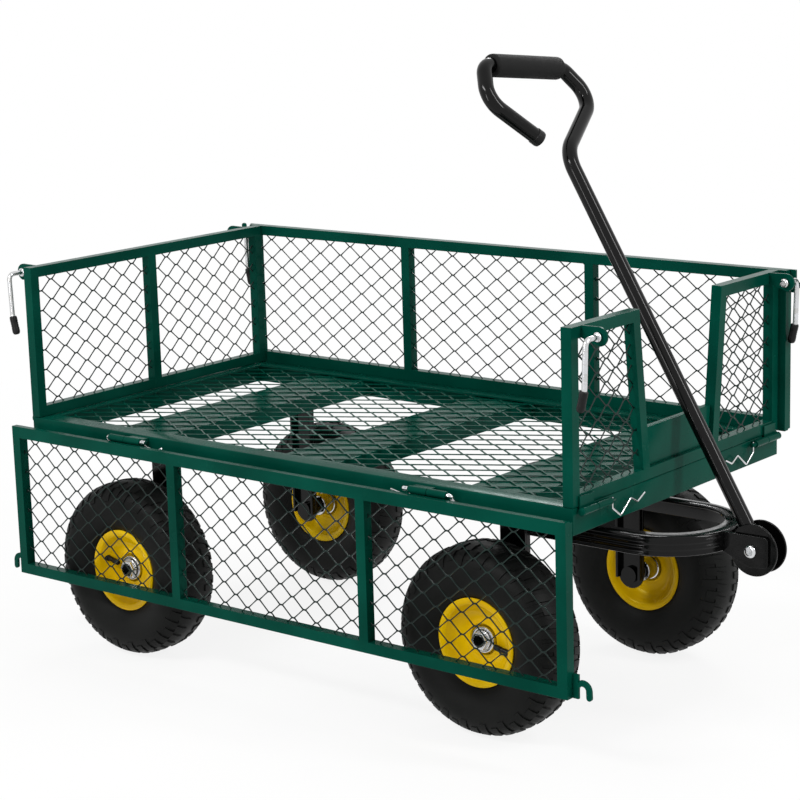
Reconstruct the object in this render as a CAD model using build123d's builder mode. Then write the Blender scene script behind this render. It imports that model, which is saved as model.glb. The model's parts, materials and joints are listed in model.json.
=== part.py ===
from build123d import *
import os
from math import cos, radians, sin, hypot

# Four-wheeled steel garden cart with hinged mesh sides, millimetres.
# Modelled about the bed centre: +X towards the pull handle, +Y left, +Z up from the ground.

os.makedirs("parts", exist_ok=True)

# Fits
pin_play = 0.05
slip = 0.3
plate_gap = 1.0

# Wheels
tyre_d = 254.0
tyre_w = 84.0
tread_w = 58.0
rim_d = 118.0
rim_w = 60.0
rim_sheet = 3.0
rim_web = 16.0
tyre_crown = 5.0
hub_d = 36.0
hub_in = 35.0
hub_out = 14.0
axle_d = 16.0
collar_d = 24.0
axle_head = 6.0
front_axle_inset = 167.0
rear_axle_inset = 170.0
front_wheel_room = 26.0
rear_wheel_room = 5.0
axle_z = tyre_d / 2
nut_d = 26.0
nut_l = 9.0

# Bed
bed_l = 950.0
bed_w = 490.0
bed_top = 332.0
rail_h = 34.0
rail_sheet = 3.0
rail_flange = 28.0
net_sheet = 2.0
cross_w = 94.0
cross_h = 23.0
middle_cross_x = 25.0
front_cross_ahead = 30.0
deck_cells_x = 11
deck_cells_y = 7
strand = 3.0
front_axle_x = bed_l / 2 - front_axle_inset
rear_axle_x = rear_axle_inset - bed_l / 2
front_cross_x = front_axle_x + front_cross_ahead
deck_top = bed_top - rail_sheet
deck_bottom = deck_top - net_sheet
cross_bottom = deck_bottom - cross_h

# Hinges
hinge_pin_d = 6.0
knuckle_d = 10.0
knuckle_l = 30.0
knuckle_gap = 0.4
hinge_drop = 5.0
hinge_z = bed_top - hinge_drop
side_hinge_out = 16.5
end_hinge_out = 6.5
side_hinge_inset = 207.0
end_hinge_inset = 41.0
side_hinge_at = bed_l / 2 - side_hinge_inset
end_hinge_at = bed_w / 2 - end_hinge_inset
strap_t = 3.0
strap_h = 18.0
tab_h = 6.0
pin_bend = 14.0
pin_end = 9.0
pin_head = 2.5
clip_wire = 2.4
side_clip = 30.0
end_clip = 72.0
knuckle_r = knuckle_d / 2
pin_r = hinge_pin_d / 2
bore_r = pin_r + pin_play

# Panels
panel_tube = 15.0
panel_h = 219.0
panel_foot = knuckle_r + 0.5
side_over = 11.0
side_in = 0.5
end_in = 6.0
side_post_at = 168.0
side_cells = (4, 4)
rear_cells = (3, 4)
front_cells = (2, 4)
side_l = bed_l + 2 * side_over
end_w = bed_w
side_face = bed_w / 2 + side_hinge_out
front_track = 2 * (side_face + side_in - tyre_w / 2 - front_wheel_room)
rear_track = 2 * (side_face + side_in - tyre_w / 2 - rear_wheel_room)
panel_head = panel_foot + panel_h
notch_top = 194.0
notch_bottom = 146.0
notch_rise = 65.0
notch_sheet = 3.0
notch_set_back = 6.0

# Latches
ear_t = 4.0
ear_r = 12.0
ear_inset = 23.0
latch_rod = 7.0
latch_drop = 11.5
arm_l = 58.0
arm_gap = 0.5
arm_lean = 2.0
grip_l = 26.0
grip_lean = 6.0
grip_d = 11.0
latch_bend = 8.0
latch_head = 12.0
hook_t = 4.0
hook_slot = 11.0
hook_finger = 8.0
hook_root = 8.5
hook_h = 31.0
latch_h = panel_head - latch_drop
ear_at = bed_w / 2 - ear_inset
arm_at = side_face - side_in - hook_t - arm_gap - grip_d / 2
latch_out = (side_l - bed_l) / 2 + hook_root + hook_slot / 2 - end_hinge_out
latch_bore_r = latch_rod / 2 + pin_play

# Steering
plate_t = 4.0
turntable_d = 150.0
washer_d = 90.0
king_d = 20.0
yoke_r = 94.0
yoke_band = 22.0
yoke_reach = 147.0
yoke_back = 40.0
yoke_skirt = 25.0
bridge_w = 76.0
axle_box_h = 34.0
axle_box_w = 56.0
front_leg_room = 54.0
rear_leg_room = 58.0
leg_t = 12.0
leg_w = 40.0
leg_below = 20.0
leg_out = front_track / 2 - front_leg_room
rear_leg_out = rear_track / 2 - rear_leg_room
yoke_x = front_axle_x + yoke_reach
rear_cross_x = rear_axle_x + cross_w / 2 - rail_sheet - leg_w / 2
cross_xs = (rear_cross_x, middle_cross_x, front_cross_x)
turntable_top = cross_bottom
washer_top = turntable_top - plate_t
axle_box_top = washer_top - plate_t
yoke_top = axle_box_top - axle_box_h

# Handle
pivot_ahead = 112.0
pivot_z = 242.0
handle_lean = 30.5
handle_d = 20.0
cheek_r = 34.0
cheek_t = 3.0
clevis_t = 4.0
clevis_end = 22.0
pivot_bolt_d = 12.0
bolt_head_d = 22.0
bolt_head_l = 7.0
loop_start = 560.0
loop_elbow = (110.0, 629.0)
bar_right = (78.0, 678.0)
bar_left = (-82.0, 696.0)
loop_turn = (-108.0, 648.0)
loop_end = (-42.0, 586.0)
loop_bends = (45.0, 30.0, 20.0, 22.0, 30.0)
foam_d = 30.0
cap_d = 22.0
cap_l = 12.0
pivot_x = bed_l / 2 + pivot_ahead
cheek_in = handle_d / 2
clevis_in = cheek_in + cheek_t + slip
clevis_out = clevis_in + clevis_t

# Outer limits, used to put the origin under the middle of the whole cart
hook_reach = hook_root + hook_slot + hook_finger
front_limit = pivot_x + cheek_r
back_limit = -(side_l / 2 + hook_reach)
left_limit = bed_w / 2 + side_hinge_out + knuckle_r
right_limit = -(bed_w / 2 + side_hinge_out + side_in + panel_tube)
shift = Location((-(front_limit + back_limit) / 2, -(left_limit + right_limit) / 2, 0))


def save(builder, name):
    """Move a finished piece to the shared origin, label it and write it."""
    piece = builder.part.moved(shift)
    piece.label = name
    export_step(piece, f"parts/{name}.step")


# Hinge planes: x along the edge, y up the raised panel, z outwards from the bed
up_left = Plane(origin=(0, bed_w / 2 + side_hinge_out, hinge_z), x_dir=(-1, 0, 0), z_dir=(0, 1, 0))
up_right = Plane(origin=(0, -bed_w / 2 - side_hinge_out, hinge_z), x_dir=(1, 0, 0), z_dir=(0, -1, 0))
down_right = Plane(origin=(0, -bed_w / 2 - side_hinge_out, hinge_z), x_dir=(1, 0, 0), z_dir=(0, 1, 0))
up_rear = Plane(origin=(-bed_l / 2 - end_hinge_out, 0, hinge_z), x_dir=(0, -1, 0), z_dir=(-1, 0, 0))
up_front = Plane(origin=(bed_l / 2 + end_hinge_out, 0, hinge_z), x_dir=(0, 1, 0), z_dir=(1, 0, 0))


# Bed frame: upright rail sheets with the top turned inwards
with BuildPart() as bed_frame:
    with BuildSketch(Plane.XY.offset(bed_top - rail_h)):
        Rectangle(bed_l, bed_w)
        Rectangle(bed_l - 2 * rail_sheet, bed_w - 2 * rail_sheet, mode=Mode.SUBTRACT)
    extrude(amount=rail_h)
    with BuildSketch(Plane.XY.offset(deck_top)):
        Rectangle(bed_l, bed_w)
        Rectangle(bed_l - 2 * rail_flange, bed_w - 2 * rail_flange, mode=Mode.SUBTRACT)
    extrude(amount=rail_sheet)
save(bed_frame, "bed_frame")

# Cross-members: wide channels, open below, between the side rails
with BuildPart() as bed_crossmembers:
    with BuildSketch(Plane.XZ):
        for x in cross_xs:
            with Locations((x, (cross_bottom + deck_bottom) / 2)):
                Rectangle(cross_w, cross_h)
            with Locations((x, (cross_bottom + deck_bottom - rail_sheet) / 2)):
                Rectangle(cross_w - 2 * rail_sheet, cross_h - rail_sheet, mode=Mode.SUBTRACT)
    extrude(amount=bed_w / 2 - rail_sheet, both=True)
    with BuildSketch(Plane.XY.offset(deck_bottom - rail_sheet)):
        with Locations((front_axle_x, 0)):
            Circle(king_d / 2)
    extrude(amount=rail_sheet, mode=Mode.SUBTRACT)
save(bed_crossmembers, "bed_crossmembers")


def diamonds(width, height, cells):
    """Diamond gaps of an expanded-metal net that fill a rectangle about the origin."""
    pitch_x = width / cells[0]
    pitch_y = height / cells[1]
    slant = hypot(pitch_x, pitch_y)
    half_x = pitch_x / 2 - strand * slant / pitch_y / 2
    half_y = pitch_y / 2 - strand * slant / pitch_x / 2
    corners = [(half_x, 0), (0, half_y), (-half_x, 0), (0, -half_y)]
    with BuildSketch() as gaps:
        with GridLocations(pitch_x, pitch_y, cells[0], cells[1]):
            Polygon(*corners)
        with GridLocations(pitch_x, pitch_y, cells[0] + 1, cells[1] + 1):
            Polygon(*corners)
        Rectangle(width, height, mode=Mode.INTERSECT)
    return gaps.sketch


# Deck net: lies on the cross-members under the rail flange
with BuildPart() as deck_mesh:
    with BuildSketch(Plane.XY.offset(deck_bottom)):
        Rectangle(bed_l - 2 * rail_sheet, bed_w - 2 * rail_sheet)
        add(diamonds(bed_l - 2 * rail_flange, bed_w - 2 * rail_flange, (deck_cells_x, deck_cells_y)),
            mode=Mode.SUBTRACT)
    extrude(amount=net_sheet)
save(deck_mesh, "deck_mesh")


def barrel_at(at, side, outer):
    """Middle of one knuckle along its edge; the outer one belongs to the panel."""
    step = (knuckle_l + knuckle_gap) / 2
    if outer:
        return side * (at + step)
    return side * (at - step)


# Rail knuckles: a barrel and a tab to the rail face at each hinge
with BuildPart() as rail_hinge_knuckles:
    for plane, at, out in ((up_left, side_hinge_at, side_hinge_out), (up_right, side_hinge_at, side_hinge_out),
                           (up_rear, end_hinge_at, end_hinge_out), (up_front, end_hinge_at, end_hinge_out)):
        for side in (-1, 1):
            middle = barrel_at(at, side, False)
            with BuildSketch(Plane(plane.from_local_coords((middle - knuckle_l / 2, 0, 0)),
                                   x_dir=plane.z_dir, z_dir=plane.x_dir)):
                Circle(knuckle_r)
                with Locations((-out / 2, 0)):
                    Rectangle(out, tab_h)
                Circle(bore_r, mode=Mode.SUBTRACT)
            extrude(amount=knuckle_l)
save(rail_hinge_knuckles, "rail_hinge_knuckles")


def bent_pins(plane, at, turn):
    """Two hinge pins of one edge, each with its outer end bent over by the given turn."""
    inner = at - knuckle_l - knuckle_gap / 2 - pin_end
    outer = at + knuckle_l + knuckle_gap / 2 + pin_r + 2
    drop = (-sin(radians(turn)) * pin_bend, -cos(radians(turn)) * pin_bend)
    with BuildPart() as pins:
        for side in (-1, 1):
            with BuildLine(plane) as route:
                FilletPolyline((side * inner, 0, 0), (side * outer, 0, 0),
                               (side * outer, drop[1], drop[0]), radius=pin_r + 1)
            with BuildSketch(Plane(origin=route.line @ 0, z_dir=route.line % 0)):
                Circle(pin_r)
            sweep(path=route.line)
            hole = Plane(plane.from_local_coords((side * (inner + pin_end / 2), 0, 0)), x_dir=plane.x_dir,
                         z_dir=plane.from_local_coords((0, drop[1], drop[0])) - plane.origin)
            with BuildSketch(hole.offset(-pin_r - 1)):
                Circle(clip_wire / 2 + pin_play)
            extrude(amount=hinge_pin_d + 2, mode=Mode.SUBTRACT)
    return pins


def headed_pins(plane, at):
    """Two straight hinge pins of one edge, each with a flat head outside its panel knuckle."""
    inner = at - knuckle_l - knuckle_gap / 2 - pin_end
    outer = at + knuckle_l + knuckle_gap / 2
    with BuildPart() as pins:
        for side in (-1, 1):
            end = Plane(plane.from_local_coords((side * inner, 0, 0)), z_dir=side * plane.x_dir)
            with BuildSketch(end):
                Circle(pin_r)
            extrude(amount=outer - inner)
            with BuildSketch(end.offset(outer - inner)):
                Circle(knuckle_r)
            extrude(amount=pin_head)
            hole = Plane(plane.from_local_coords((side * (inner + pin_end / 2), 0, 0)), x_dir=plane.x_dir,
                         z_dir=plane.y_dir)
            with BuildSketch(hole.offset(-pin_r - 1)):
                Circle(clip_wire / 2 + pin_play)
            extrude(amount=hinge_pin_d + 2, mode=Mode.SUBTRACT)
    return pins


right_hinge_pins = bent_pins(up_right, side_hinge_at, 45)
save(right_hinge_pins, "right_hinge_pins")
left_hinge_pins = bent_pins(up_left, side_hinge_at, 45)
save(left_hinge_pins, "left_hinge_pins")
rear_hinge_pins = headed_pins(up_rear, end_hinge_at)
save(rear_hinge_pins, "rear_hinge_pins")
front_hinge_pins = headed_pins(up_front, end_hinge_at)
save(front_hinge_pins, "front_hinge_pins")


# Hinge clips: zigzag spring wires through the inner ends of the pins
with BuildPart() as hinge_clips:
    short_knees = ((0, -pin_r - 1), (0, 13), (0.45, 17), (1, 8))
    long_knees = ((0, -pin_r - 1), (0, 10), (0.25, 23), (0.56, 6), (0.77, 14), (1, 6))
    for plane, at, turn, length, knees in ((up_right, side_hinge_at, 45, side_clip, short_knees),
                                           (up_left, side_hinge_at, 45, side_clip, short_knees),
                                           (up_rear, end_hinge_at, 0, end_clip, long_knees),
                                           (up_front, end_hinge_at, 0, end_clip, long_knees)):
        start = at - knuckle_l - knuckle_gap / 2 - pin_end / 2
        lean = (-cos(radians(turn)), -sin(radians(turn)))
        for side in (-1, 1):
            nodes = [(side * (start - a * length), h * lean[0], h * lean[1]) for a, h in knees]
            with BuildLine(plane) as route:
                FilletPolyline(*nodes, radius=clip_wire)
            with BuildSketch(Plane(origin=route.line @ 0, z_dir=route.line % 0)):
                Circle(clip_wire / 2)
            sweep(path=route.line)
save(hinge_clips, "hinge_clips")


def add_panel_knuckles(plane, at, inset):
    """Barrels on a panel frame, each with a strap up the outer face of the bottom tube."""
    for side in (-1, 1):
        middle = barrel_at(at, side, True)
        with BuildSketch(Plane(plane.from_local_coords((middle - knuckle_l / 2, 0, 0)),
                               x_dir=plane.z_dir, z_dir=plane.x_dir)) as profile:
            Circle(knuckle_r)
            with Locations((strap_t / 2 - inset, -strap_h / 2)):
                Rectangle(strap_t, strap_h)
            Circle(bore_r, mode=Mode.SUBTRACT)
        extrude(profile.sketch, amount=knuckle_l)


def side_bays():
    """Middle, width and height of the three bays of a side panel."""
    height = panel_h - 2 * panel_tube
    middle_w = 2 * side_post_at - panel_tube
    outer_w = side_l / 2 - panel_tube - side_post_at - panel_tube / 2
    outer_x = side_l / 2 - panel_tube - outer_w / 2
    level = panel_foot + panel_h / 2
    return ((-outer_x, level, outer_w, height), (0, level, middle_w, height), (outer_x, level, outer_w, height))


def side_frame(plane):
    """Welded square-tube frame of a side panel, in the stance of the given hinge plane."""
    with BuildPart() as frame:
        with BuildSketch(plane.offset(-side_in - panel_tube)):
            with Locations((0, panel_foot + panel_h / 2)):
                Rectangle(side_l, panel_h)
            for x, y, w, h in side_bays():
                with Locations((x, y)):
                    Rectangle(w, h, mode=Mode.SUBTRACT)
        extrude(amount=panel_tube)
        add_panel_knuckles(plane, side_hinge_at, strap_t - 2.5)
    return frame


def net(plane, bays, cells, depth):
    """Flat expanded-metal sheets that fill the bays of a panel at the given depth."""
    with BuildPart() as sheets:
        with BuildSketch(plane.offset(depth - net_sheet / 2)):
            for x, y, w, h in bays:
                with Locations((x, y)):
                    Rectangle(w, h)
                add(diamonds(w - 2 * strand, h - 2 * strand, cells).moved(Location((x, y, 0))),
                    mode=Mode.SUBTRACT)
        extrude(amount=net_sheet)
    return sheets


def side_hooks(plane):
    """Two hook plates on the upper outer corners of a side panel."""
    slot_x = side_l / 2 + hook_root + hook_slot / 2
    with BuildPart() as hooks:
        with BuildSketch(plane.offset(-side_in - hook_t)):
            for side in (-1, 1):
                with Locations((side * (side_l / 2 + hook_root / 2), panel_head - hook_h / 2)):
                    Rectangle(hook_root, hook_h)
                with Locations((side * slot_x, latch_h)):
                    Circle(hook_slot / 2 + hook_finger)
                with Locations((side * (slot_x - hook_slot / 2 - hook_finger), latch_h)):
                    Rectangle(2 * (hook_finger - hook_root) + 0.01, hook_slot + 2 * hook_finger,
                              mode=Mode.SUBTRACT)
                with Locations((side * (side_l / 2 + hook_reach - hook_finger / 2), (latch_h + panel_head) / 2)):
                    Rectangle(hook_finger, latch_drop)
                with Locations((side * slot_x, latch_h + latch_drop)):
                    Rectangle(hook_slot, 2 * latch_drop, mode=Mode.SUBTRACT)
                with Locations((side * slot_x, latch_h)):
                    Circle(hook_slot / 2, mode=Mode.SUBTRACT)
        extrude(amount=hook_t)
    return hooks


right_side_frame = side_frame(down_right)
save(right_side_frame, "right_side_frame")
right_side_mesh = net(down_right, side_bays(), side_cells, -side_in - panel_tube / 2)
save(right_side_mesh, "right_side_mesh")
right_side_hooks = side_hooks(down_right)
save(right_side_hooks, "right_side_hooks")
left_side_frame = side_frame(up_left)
save(left_side_frame, "left_side_frame")
left_side_mesh = net(up_left, side_bays(), side_cells, -side_in - panel_tube / 2)
save(left_side_mesh, "left_side_mesh")
left_side_hooks = side_hooks(up_left)
save(left_side_hooks, "left_side_hooks")


def rear_bays():
    """Middle, width and height of the two bays of the rear panel."""
    height = panel_h - 2 * panel_tube
    width = (end_w - 3 * panel_tube) / 2
    middle = (width + panel_tube) / 2
    level = panel_foot + panel_h / 2
    return ((-middle, level, width, height), (middle, level, width, height))


# Rear panel frame with one mid post
with BuildPart() as rear_panel_frame:
    with BuildSketch(up_rear.offset(-end_in - panel_tube)):
        with Locations((0, panel_foot + panel_h / 2)):
            Rectangle(end_w, panel_h)
        for x, y, w, h in rear_bays():
            with Locations((x, y)):
                Rectangle(w, h, mode=Mode.SUBTRACT)
    extrude(amount=panel_tube)
    add_panel_knuckles(up_rear, end_hinge_at, end_in)
save(rear_panel_frame, "rear_panel_frame")
rear_panel_mesh = net(up_rear, rear_bays(), rear_cells, -end_in - panel_tube / 2)
save(rear_panel_mesh, "rear_panel_mesh")


def window(inset):
    """Corners of the right-hand front bay; the inner post leans towards the notch floor."""
    outer = end_w / 2 - panel_tube - inset
    low = panel_foot + panel_tube + inset
    high = panel_head - panel_tube - inset
    lean = (notch_top - notch_bottom) / 2 / panel_h
    inner_low = notch_bottom / 2 + panel_tube + lean * (low - panel_foot) + inset
    inner_high = notch_bottom / 2 + panel_tube + lean * (high - panel_foot) + inset
    return [(inner_low, low), (outer, low), (outer, high), (inner_high, high)]


# Front panel frame: the top is open in the middle so that the parked handle can lean in
with BuildPart() as front_panel_frame:
    with BuildSketch(up_front.offset(-end_in - panel_tube)):
        with Locations((0, panel_foot + panel_h / 2)):
            Rectangle(end_w, panel_h)
        Polygon((-notch_bottom / 2, panel_foot), (notch_bottom / 2, panel_foot), (notch_top / 2, panel_head),
                (-notch_top / 2, panel_head), align=None, mode=Mode.SUBTRACT)
        with Locations((0, panel_foot + panel_tube / 2)):
            Rectangle(end_w, panel_tube)
        for side in (-1, 1):
            Polygon(*[(side * x, y) for x, y in window(0)], align=None, mode=Mode.SUBTRACT)
    extrude(amount=panel_tube)
    add_panel_knuckles(up_front, end_hinge_at, end_in)
save(front_panel_frame, "front_panel_frame")


def front_gaps(side):
    """Net gaps of one front bay, cut off along its leaning post."""
    corners = window(0)
    width = corners[1][0] - corners[0][0]
    height = corners[2][1] - corners[0][1]
    middle_x = (corners[0][0] + corners[1][0]) / 2
    middle_y = (corners[0][1] + corners[2][1]) / 2
    with BuildSketch() as gaps:
        add(diamonds(width, height, front_cells).moved(Location((side * middle_x, middle_y, 0))))
        Polygon(*[(side * x, y) for x, y in window(strand)], align=None, mode=Mode.INTERSECT)
    return gaps.sketch


# Front nets
with BuildPart() as front_panel_mesh:
    with BuildSketch(up_front.offset(-end_in - panel_tube / 2 - net_sheet / 2)):
        for side in (-1, 1):
            Polygon(*[(side * x, y) for x, y in window(0)], align=None)
            add(front_gaps(side), mode=Mode.SUBTRACT)
    extrude(amount=net_sheet)
save(front_panel_mesh, "front_panel_mesh")

# Notch plate: upright sheet with its top edge folded back
with BuildPart() as front_notch_plate:
    lean = (notch_top - notch_bottom) / 2 / panel_h
    low_w = notch_bottom / 2 + lean * panel_tube
    high_w = notch_bottom / 2 + lean * notch_rise
    fold_w = notch_bottom / 2 + lean * (notch_rise - notch_sheet)
    with BuildSketch(up_front.offset(-end_in - notch_set_back - notch_sheet)):
        Polygon((-low_w, panel_foot + panel_tube), (low_w, panel_foot + panel_tube),
                (high_w, panel_foot + notch_rise), (-high_w, panel_foot + notch_rise), align=None)
    extrude(amount=notch_sheet)
    with BuildSketch(up_front.offset(-end_in - panel_tube)):
        Polygon((-fold_w, panel_foot + notch_rise - notch_sheet), (fold_w, panel_foot + notch_rise - notch_sheet),
                (high_w, panel_foot + notch_rise), (-high_w, panel_foot + notch_rise), align=None)
    extrude(amount=panel_tube - notch_set_back - notch_sheet)
save(front_notch_plate, "front_notch_plate")


def latch_ears(plane):
    """Two upright ear plates on the top tube of an end panel, bored for the latch rods."""
    out = latch_out
    with BuildPart() as ears:
        for side in (-1, 1):
            edge = plane.from_local_coords((side * ear_at - ear_t / 2, 0, 0))
            with BuildSketch(Plane(edge, x_dir=plane.z_dir, z_dir=plane.x_dir)):
                with Locations((out, -latch_h)):
                    Circle(ear_r)
                Polygon((-end_in, -panel_head), (out, -latch_h - ear_r), (out, -latch_h + ear_r),
                        (-end_in, -panel_head + panel_tube), align=None)
                with Locations((out, -latch_h)):
                    Circle(latch_bore_r, mode=Mode.SUBTRACT)
            extrude(amount=ear_t)
    return ears


rear_latch_ears = latch_ears(up_rear)
save(rear_latch_ears, "rear_latch_ears")
front_latch_ears = latch_ears(up_front)
save(front_latch_ears, "front_latch_ears")


def latch_route(side):
    """Corners of a latch rod: through the ear, then down the arm into the grip."""
    out = latch_out
    inner = ear_at - ear_t / 2 - slip - latch_head / 2
    elbow = latch_h - arm_l
    tip = elbow - grip_l
    return [(side * inner, latch_h, out), (side * arm_at, latch_h, out),
            (side * arm_at, elbow, out - arm_lean), (side * arm_at, tip, out - arm_lean - grip_lean)]


def latch_lever(plane, side):
    """Bent rod with an upset head inside the ear and a collar outside it."""
    nodes = latch_route(side)
    with BuildPart() as lever:
        with BuildLine(plane) as route:
            FilletPolyline(*nodes, radius=(latch_bend, latch_bend))
        with BuildSketch(Plane(origin=route.line @ 0, z_dir=route.line % 0)):
            Circle(latch_rod / 2)
        sweep(path=route.line)
        head = Plane(plane.from_local_coords(nodes[0]), z_dir=side * plane.x_dir)
        with BuildSketch(head):
            Circle(latch_head / 2)
        extrude(amount=latch_head / 2)
        with BuildSketch(head.offset(latch_head / 2 + ear_t + 2 * slip)):
            Circle(latch_head / 2)
        extrude(amount=latch_head / 3)
    return lever


def latch_grip(plane, side, lever):
    """Plastic sleeve over the lower end of a latch rod."""
    nodes = latch_route(side)
    top = Vector(*nodes[2])
    tip = Vector(*nodes[3])
    along = (tip - top).normalized()
    start = plane.from_local_coords(top + along * latch_bend / 4)
    end = plane.from_local_coords(tip + along * 3)
    with BuildPart() as grip:
        with BuildSketch(Plane(origin=start, z_dir=end - start)):
            Circle(grip_d / 2)
        extrude(amount=(end - start).length)
        fillet(grip.edges().sort_by(Axis.Z)[0], grip_d / 4)
        add(lever.part, mode=Mode.SUBTRACT)
    return grip


right_rear_latch = latch_lever(up_rear, 1)
save(right_rear_latch, "right_rear_latch_lever")
right_rear_grip = latch_grip(up_rear, 1, right_rear_latch)
save(right_rear_grip, "right_rear_latch_grip")
left_rear_latch = latch_lever(up_rear, -1)
save(left_rear_latch, "left_rear_latch_lever")
left_rear_grip = latch_grip(up_rear, -1, left_rear_latch)
save(left_rear_grip, "left_rear_latch_grip")
right_front_latch = latch_lever(up_front, -1)
save(right_front_latch, "right_front_latch_lever")
right_front_grip = latch_grip(up_front, -1, right_front_latch)
save(right_front_grip, "right_front_latch_grip")
left_front_latch = latch_lever(up_front, 1)
save(left_front_latch, "left_front_latch_lever")
left_front_grip = latch_grip(up_front, 1, left_front_latch)
save(left_front_grip, "left_front_latch_grip")


# Turntable plate and king pin under the front cross-member
with BuildPart() as turntable_plate:
    with BuildSketch(Plane.XY.offset(washer_top)):
        with Locations((front_axle_x, 0)):
            Circle(turntable_d / 2)
            Circle(king_d / 2, mode=Mode.SUBTRACT)
    extrude(amount=plate_t)
save(turntable_plate, "turntable_plate")

with BuildPart() as king_pin:
    with BuildSketch(Plane.XY.offset(axle_box_top - plate_t - plate_gap)):
        with Locations((front_axle_x, 0)):
            Circle(king_d / 2)
    extrude(amount=deck_bottom - axle_box_top + plate_t + plate_gap)
    with BuildSketch(Plane.XY.offset(axle_box_top - plate_t - plate_gap - plate_t)):
        with Locations((front_axle_x, 0)):
            Circle(king_d * 0.8)
    extrude(amount=plate_t)
save(king_pin, "king_pin")

with BuildPart() as thrust_washer:
    with BuildSketch(Plane.XY.offset(axle_box_top)):
        with Locations((front_axle_x, 0)):
            Circle(washer_d / 2)
            Circle(king_d / 2 + pin_play, mode=Mode.SUBTRACT)
    extrude(amount=plate_t)
save(thrust_washer, "thrust_washer")


def horseshoe(inset):
    """Plan of the steering yoke inside the given inset: round nose, straight arms."""
    with BuildSketch() as plan:
        with Locations((yoke_x, 0)):
            Circle(yoke_r - inset)
        back = front_axle_x - yoke_back + inset
        with Locations(((yoke_x + back) / 2, 0)):
            Rectangle(yoke_x - back, 2 * (yoke_r - inset))
    return plan.sketch


# Steering yoke: pressed horseshoe with a skirt, and clevis cheeks on its nose
with BuildPart() as steering_yoke:
    with BuildSketch(Plane.XY.offset(yoke_top - plate_t)):
        add(horseshoe(0))
    extrude(amount=plate_t)
    with BuildSketch(Plane.XY.offset(yoke_top - yoke_skirt)):
        add(horseshoe(0))
        add(horseshoe(plate_t), mode=Mode.SUBTRACT)
    extrude(amount=yoke_skirt - plate_t)
    nose = yoke_x + yoke_r - 2 * plate_t
    for side in (-1, 1):
        with BuildSketch(Plane.XZ.offset(-side * (clevis_in + clevis_out) / 2 - clevis_t / 2)):
            Polygon((nose, yoke_top), (nose, yoke_top - yoke_skirt), (pivot_x, pivot_z - clevis_end),
                    (pivot_x, pivot_z + clevis_end), align=None)
            with Locations((pivot_x, pivot_z)):
                Circle(clevis_end)
                Circle(pivot_bolt_d / 2, mode=Mode.SUBTRACT)
        extrude(amount=clevis_t)
    with BuildSketch(Plane.XY.offset(yoke_top - plate_t)):
        with Locations((yoke_x, 0)):
            Circle(yoke_r - yoke_band)
        with Locations(((yoke_x + front_axle_x + bridge_w / 2) / 2, 0)):
            Rectangle(yoke_x - front_axle_x - bridge_w / 2, 2 * (yoke_r - yoke_band))
    extrude(amount=plate_t, mode=Mode.SUBTRACT)
save(steering_yoke, "steering_yoke")


def axle_leg(x, out, top):
    """Channel leg, open towards the middle of the cart, bored for the axle."""
    foot = axle_z - leg_below
    side = 1 if out > 0 else -1
    with BuildSketch(Plane.YZ.offset(x - leg_w / 2)) as block:
        with Locations((out - side * leg_t / 2, (foot + top) / 2)):
            Rectangle(leg_t, top - foot)
    extrude(block.sketch, amount=leg_w)
    with BuildSketch(Plane.YZ.offset(x - leg_w / 2 + plate_t)) as trough:
        with Locations((out - side * (leg_t + plate_t) / 2, (foot + top) / 2)):
            Rectangle(leg_t - plate_t, top - foot)
    extrude(trough.sketch, amount=leg_w - 2 * plate_t, mode=Mode.SUBTRACT)
    with BuildSketch(Plane.XZ.offset(-out - leg_t)) as bore:
        with Locations((x, axle_z)):
            Circle(axle_d / 2)
    extrude(bore.sketch, amount=2 * leg_t, mode=Mode.SUBTRACT)


# Front axle frame: box channel across the cart with a leg at each end
with BuildPart() as front_axle_frame:
    with BuildSketch(Plane.YZ.offset(front_axle_x - axle_box_w / 2)):
        with Locations((0, axle_box_top - axle_box_h / 2)):
            Rectangle(2 * leg_out, axle_box_h)
    extrude(amount=axle_box_w)
    with BuildSketch(Plane.YZ.offset(front_axle_x - axle_box_w / 2 + plate_t)):
        with Locations((0, axle_box_top - plate_t - axle_box_h / 2)):
            Rectangle(2 * leg_out, axle_box_h)
    extrude(amount=axle_box_w - 2 * plate_t, mode=Mode.SUBTRACT)
    axle_leg(front_axle_x, leg_out, axle_box_top - plate_t)
    axle_leg(front_axle_x, -leg_out, axle_box_top - plate_t)
    with BuildSketch(Plane.XY.offset(axle_box_top - plate_t)):
        with Locations((front_axle_x, 0)):
            Circle(king_d / 2 + pin_play)
    extrude(amount=plate_t, mode=Mode.SUBTRACT)
save(front_axle_frame, "front_axle_frame")

# Rear axle legs, welded under the rear cross-member
with BuildPart() as rear_leg_left:
    axle_leg(rear_axle_x, rear_leg_out, deck_bottom - rail_sheet)
save(rear_leg_left, "rear_leg_left")
with BuildPart() as rear_leg_right:
    axle_leg(rear_axle_x, -rear_leg_out, deck_bottom - rail_sheet)
save(rear_leg_right, "rear_leg_right")


def stub_axles(x, track, legs):
    """Two stub axles of one end: a head inside each leg, and a collar between the leg and its wheel hub."""
    inner = legs - plate_t - axle_head
    hub_face = track / 2 - hub_in - slip
    end = track / 2 + hub_out + slip + nut_l
    with BuildPart() as stubs:
        for side in (-1, 1):
            for start, stop, size in ((inner, end, axle_d), (inner, legs - plate_t, collar_d),
                                      (legs, hub_face, collar_d)):
                with BuildSketch(Plane(origin=(x, side * start, axle_z), z_dir=(0, side, 0))):
                    Circle(size / 2)
                extrude(amount=stop - start)
    return stubs


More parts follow.
